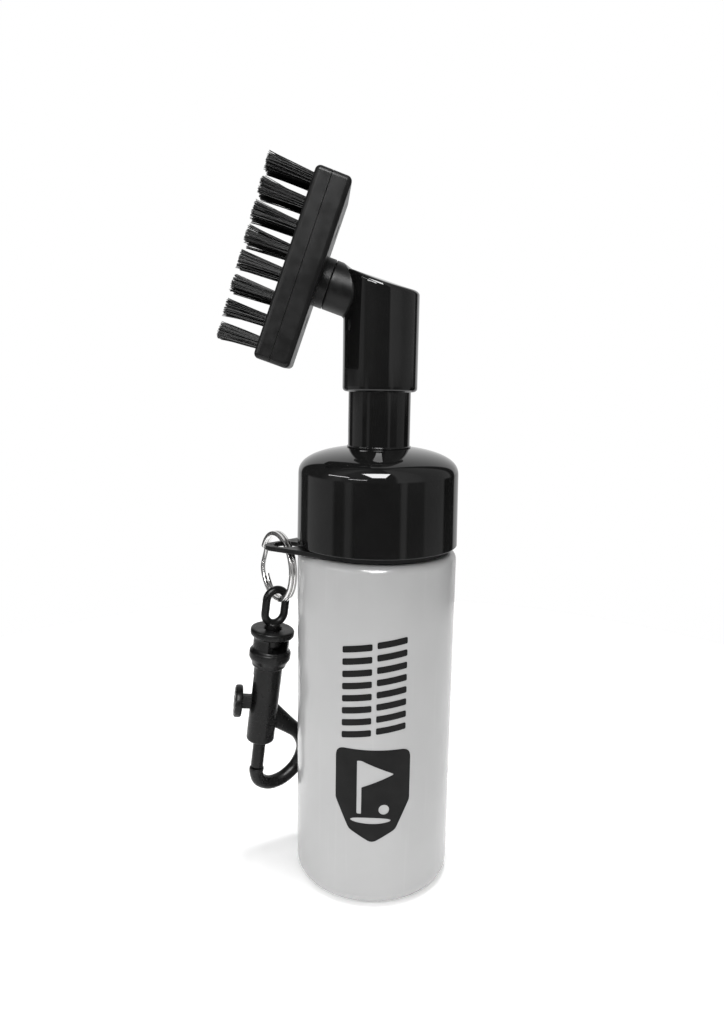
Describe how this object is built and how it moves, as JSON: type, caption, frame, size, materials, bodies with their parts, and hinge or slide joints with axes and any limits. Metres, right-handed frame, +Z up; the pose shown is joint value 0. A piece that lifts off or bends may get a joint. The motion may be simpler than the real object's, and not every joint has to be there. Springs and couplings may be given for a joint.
{
  "type": "club groove brush",
  "caption": "Hand-held golf club cleaning brush: angled bristle head on a press pump that screws onto a small water bottle, with a lanyard ring, split ring and swivel snap hook.",
  "frame": {"origin": "centre of the bottle's flat base", "axes": "+Z up along the bottle's axis; the brush head and its bristles point along -X; +Y is the far side"},
  "size_m": [0.062, 0.0422, 0.1885],
  "materials": {
    "bottle_plastic": "soft gloss, white blow-moulded polyethylene",
    "cap_plastic": "high gloss black",
    "head_plastic": "gloss black",
    "brush_plastic": "satin black",
    "clip_plastic": "satin black acetal",
    "lanyard_plastic": "satin black, flexible",
    "bristle": "black nylon filament",
    "steel": "bright nickel-plated steel",
    "pump_plastic": "natural polypropylene",
    "rubber": "matte black"
  },
  "bodies": {
    "bottle": {"bottle": "bottle_plastic"},
    "lanyard": {"lanyard_ring": "lanyard_plastic"},
    "ring": {"split_ring": "steel"},
    "eye": {"swivel_eye": "clip_plastic"},
    "clip": {"snap_hook_body": "clip_plastic", "latch_spring": "steel"},
    "bolt": {"latch_bolt": "clip_plastic", "thumb_knob": "clip_plastic"},
    "gasket": {"cap_gasket": "rubber"},
    "cap": {"cap": "cap_plastic", "pump_tower": "head_plastic", "pump_cylinder": "pump_plastic", "rod_seal": "rubber", "ball_retainer": "pump_plastic", "dip_tube": "pump_plastic", "return_spring": "steel"},
    "inlet_valve": {"inlet_ball": "steel"},
    "press_head": {"elbow": "head_plastic", "piston": "pump_plastic", "piston_o_ring": "rubber", "piston_rod": "pump_plastic", "neck_o_ring": "rubber"},
    "outlet_valve": {"outlet_ball": "steel"},
    "brush_head": {"brush_back_cover": "brush_plastic", "bristle_plate": "brush_plastic", "head_seal": "rubber", "spray_nozzle": "steel", "head_screw_lower": "steel", "head_screw_upper": "steel", "bristle_row_1": "bristle", "bristle_row_2": "bristle", "bristle_row_3": "bristle", "bristle_row_4": "bristle", "bristle_row_5": "bristle", "bristle_row_6": "bristle", "bristle_row_7": "bristle", "bristle_row_8": "bristle"}
  },
  "joints": [
    {"name": "lanyard_turn", "type": "hinge", "parent": "bottle", "child": "lanyard", "pos_m": [0, 0, 0.092], "axis": [0, 0, 1], "continuous": true},
    {"name": "ring_swing", "type": "hinge", "parent": "lanyard", "child": "ring", "pos_m": [-0.0264, 0.0034, 0.092], "axis": [-0.4787, 0.878, 0], "range_deg": [0, 25]},
    {"name": "eye_swing", "type": "hinge", "parent": "ring", "child": "eye", "pos_m": [-0.0264, 0.0034, 0.07625], "axis": [-0.4787, 0.878, 0], "range_deg": [0, 70]},
    {"name": "clip_swivel", "type": "hinge", "parent": "eye", "child": "clip", "pos_m": [-0.0279, 0.004, 0.0677], "axis": [0.1168, -0.0265, 0.9928], "range_deg": [0, 250]},
    {"name": "bolt_slide", "type": "slide", "parent": "clip", "child": "bolt", "axis": [0.1168, -0.0265, 0.9928], "range_m": [0, 0.006], "stiffness_N_per_m": 150, "springref_m": -0.005, "deforming": ["latch_spring"]},
    {"name": "cap_rise", "type": "slide", "parent": "bottle", "child": "gasket", "axis": [0, 0, 1], "range_m": [0, 0.0054]},
    {"name": "cap_turn", "type": "hinge", "parent": "gasket", "child": "cap", "pos_m": [0, 0, 0.1], "axis": [0, 0, 1], "range_deg": [0, 540]},
    {"name": "inlet_lift", "type": "slide", "parent": "cap", "child": "inlet_valve", "axis": [0, 0, 1], "range_m": [0, 0.0012]},
    {"name": "press", "type": "slide", "parent": "cap", "child": "press_head", "axis": [0, 0, 1], "range_m": [-0.011, 0], "stiffness_N_per_m": 300, "springref_m": 0.01, "deforming": ["return_spring"]},
    {"name": "outlet_lift", "type": "slide", "parent": "press_head", "child": "outlet_valve", "axis": [0, 0, 1], "range_m": [0, 0.0008]},
    {"name": "head_turn", "type": "hinge", "parent": "press_head", "child": "brush_head", "pos_m": [0, 0, 0.154], "axis": [-0.9455, 0, 0.3256], "continuous": true}
  ],
  "couplings": [
    {"joint": "cap_turn", "follows": "cap_rise", "rad_per_m": 1745.3}
  ]
}
